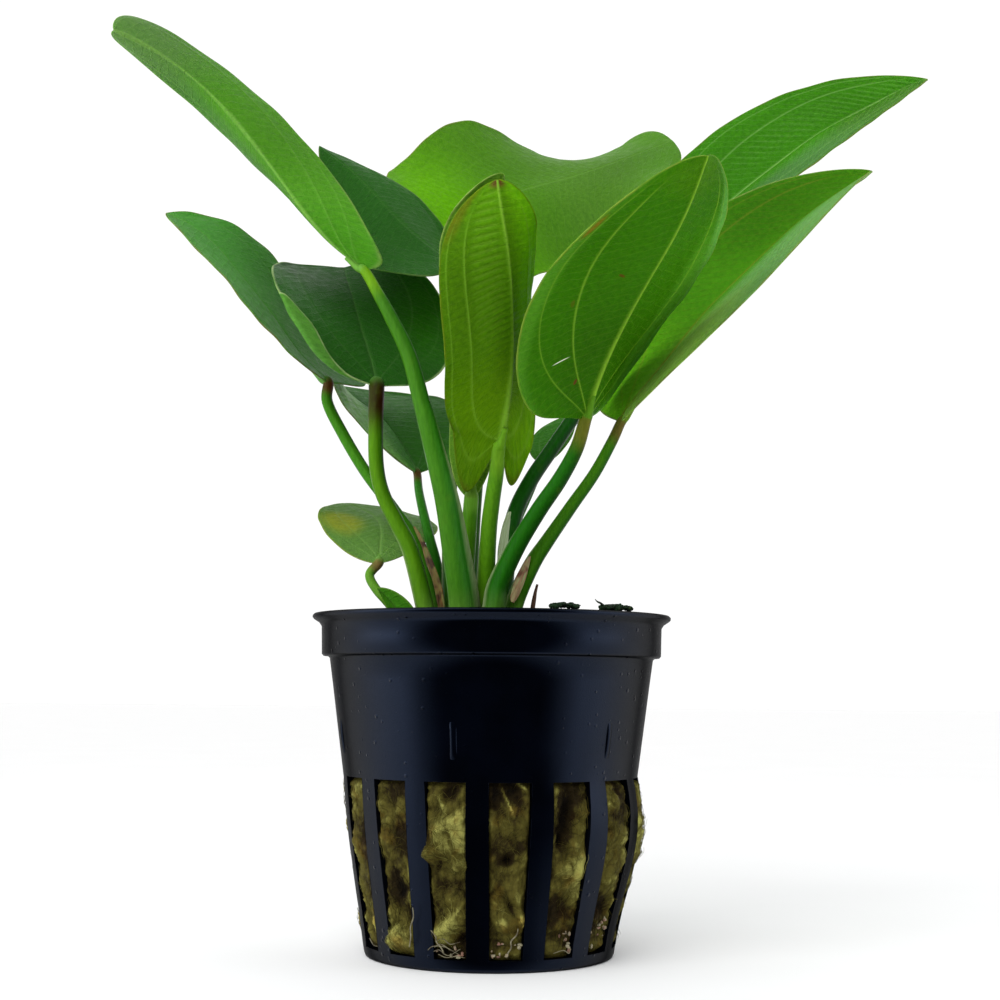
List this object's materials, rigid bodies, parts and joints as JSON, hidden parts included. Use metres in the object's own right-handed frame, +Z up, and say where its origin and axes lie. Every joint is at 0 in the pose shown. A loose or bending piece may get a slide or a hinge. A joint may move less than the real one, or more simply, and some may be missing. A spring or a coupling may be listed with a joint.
{
  "type": "potted echinodorus",
  "caption": "Small aquarium sword plant with broad stalked leaves, rooted in rock wool in a black tapered net pot with side slots.",
  "frame": {"origin": "middle of the pot's bottom, on the surface that it stands on", "axes": "+Z up along the pot's axis; -Y is the front, the side the picture shows; +X is the picture's right"},
  "size_m": [0.1321, 0.0943, 0.1441],
  "materials": {
    "pot_plastic": "satin, finely beaded",
    "rock_wool": "fibrous, damp",
    "crown_tissue": "smooth plant tissue",
    "leaf": "soft gloss with veins",
    "stalk": "smooth, moist",
    "dry_tissue": "dry, streaked",
    "pale_tissue": "thin and pale",
    "algae": "lumpy, damp",
    "root": "thin threads"
  },
  "bodies": {
    "root": {"net_pot": "pot_plastic", "rock_wool": "rock_wool", "crown": "crown_tissue", "leaf_01": "leaf", "leaf_02": "leaf", "leaf_03": "leaf", "leaf_04": "leaf", "leaf_05": "leaf", "leaf_06": "leaf", "leaf_07": "leaf", "leaf_08": "leaf", "leaf_09": "leaf", "leaf_10": "leaf", "leaf_11": "leaf", "leaf_12": "leaf", "leaf_13": "leaf", "bract": "leaf", "stem_01": "stalk", "stem_02": "stalk", "stem_03": "stalk", "stem_04": "stalk", "stem_05": "stalk", "stem_06": "stalk", "stem_07": "stalk", "stem_08": "stalk", "stem_09": "stalk", "stem_10": "stalk", "stem_11": "stalk", "stem_12": "stalk", "stem_13": "stalk", "sheath_tan": "dry_tissue", "dead_stalk": "dry_tissue", "sheath_pale": "pale_tissue", "sheath_pink": "pale_tissue", "algae_left": "algae", "algae_right": "algae", "root_1": "root", "root_2": "root", "root_3": "root"}
  },
  "joints": []
}
